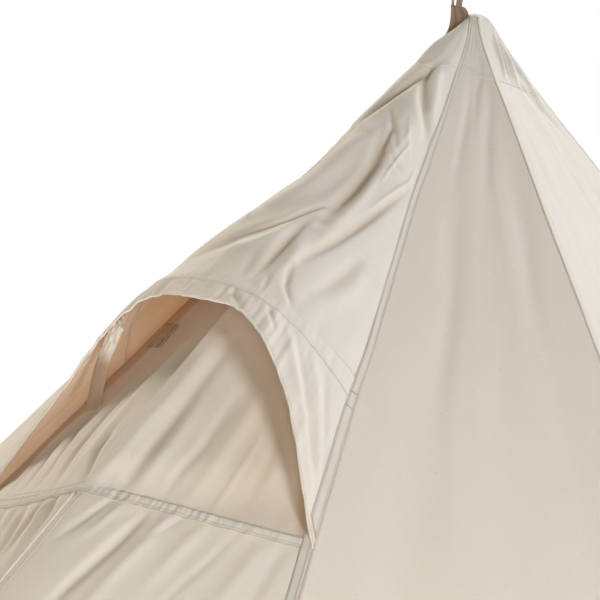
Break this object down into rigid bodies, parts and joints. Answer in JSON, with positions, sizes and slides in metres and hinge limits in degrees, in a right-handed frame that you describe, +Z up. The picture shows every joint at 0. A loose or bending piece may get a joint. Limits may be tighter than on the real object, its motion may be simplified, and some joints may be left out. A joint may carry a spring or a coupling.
{
  "type": "tipi tent",
  "caption": "Canvas pyramid tent on a centre pole, with a hooded vent over a zipped door and pegging loops round the hem.",
  "frame": {"origin": "middle of the centre pole's foot, on the ground", "axes": "+Z up, -Y towards the door, +X to the right seen from the door"},
  "size_m": [4.6174, 5.2213, 2.7265],
  "materials": {
    "canvas": "matt woven cotton",
    "tape": "matt woven cotton, stitched",
    "netting": "fine netting",
    "zip_tape": "woven tape with moulded coil",
    "webbing": "ribbed woven webbing",
    "zinc": "satin",
    "pole_steel": "galvanised",
    "rubber": "matt"
  },
  "bodies": {
    "root": {"wall_front_right": "canvas", "wall_right": "canvas", "wall_back_right": "canvas", "wall_back": "canvas", "wall_back_left": "canvas", "wall_left": "canvas", "wall_front_left": "canvas", "vent_wall": "canvas", "door_left": "canvas", "door_right": "canvas", "vent_hood": "canvas", "hood_border": "canvas", "crown_cap": "canvas", "hood_strap_left": "canvas", "hood_strap_right": "canvas", "seam_front_right": "tape", "seam_right": "tape", "seam_rear_right": "tape", "seam_back_right": "tape", "seam_back_left": "tape", "seam_rear_left": "tape", "seam_left": "tape", "seam_front_left": "tape", "hood_rim_binding": "tape", "vent_seam": "tape", "door_placket": "tape", "base_hem": "tape", "vent_mesh": "netting", "strap_patch_left": "netting", "strap_patch_right": "netting", "door_zip": "zip_tape", "zip_puller": "zinc", "apex_loop": "webbing", "peg_loop_front_right": "webbing", "peg_loop_right": "webbing", "peg_loop_rear_right": "webbing", "peg_loop_back_right": "webbing", "peg_loop_back_left": "webbing", "peg_loop_rear_left": "webbing", "peg_loop_left": "webbing", "peg_loop_front_left": "webbing", "peg_loop_door": "webbing", "pole_lower": "pole_steel", "pole_upper": "pole_steel", "pole_foot": "rubber", "pole_head": "rubber"}
  },
  "joints": []
}
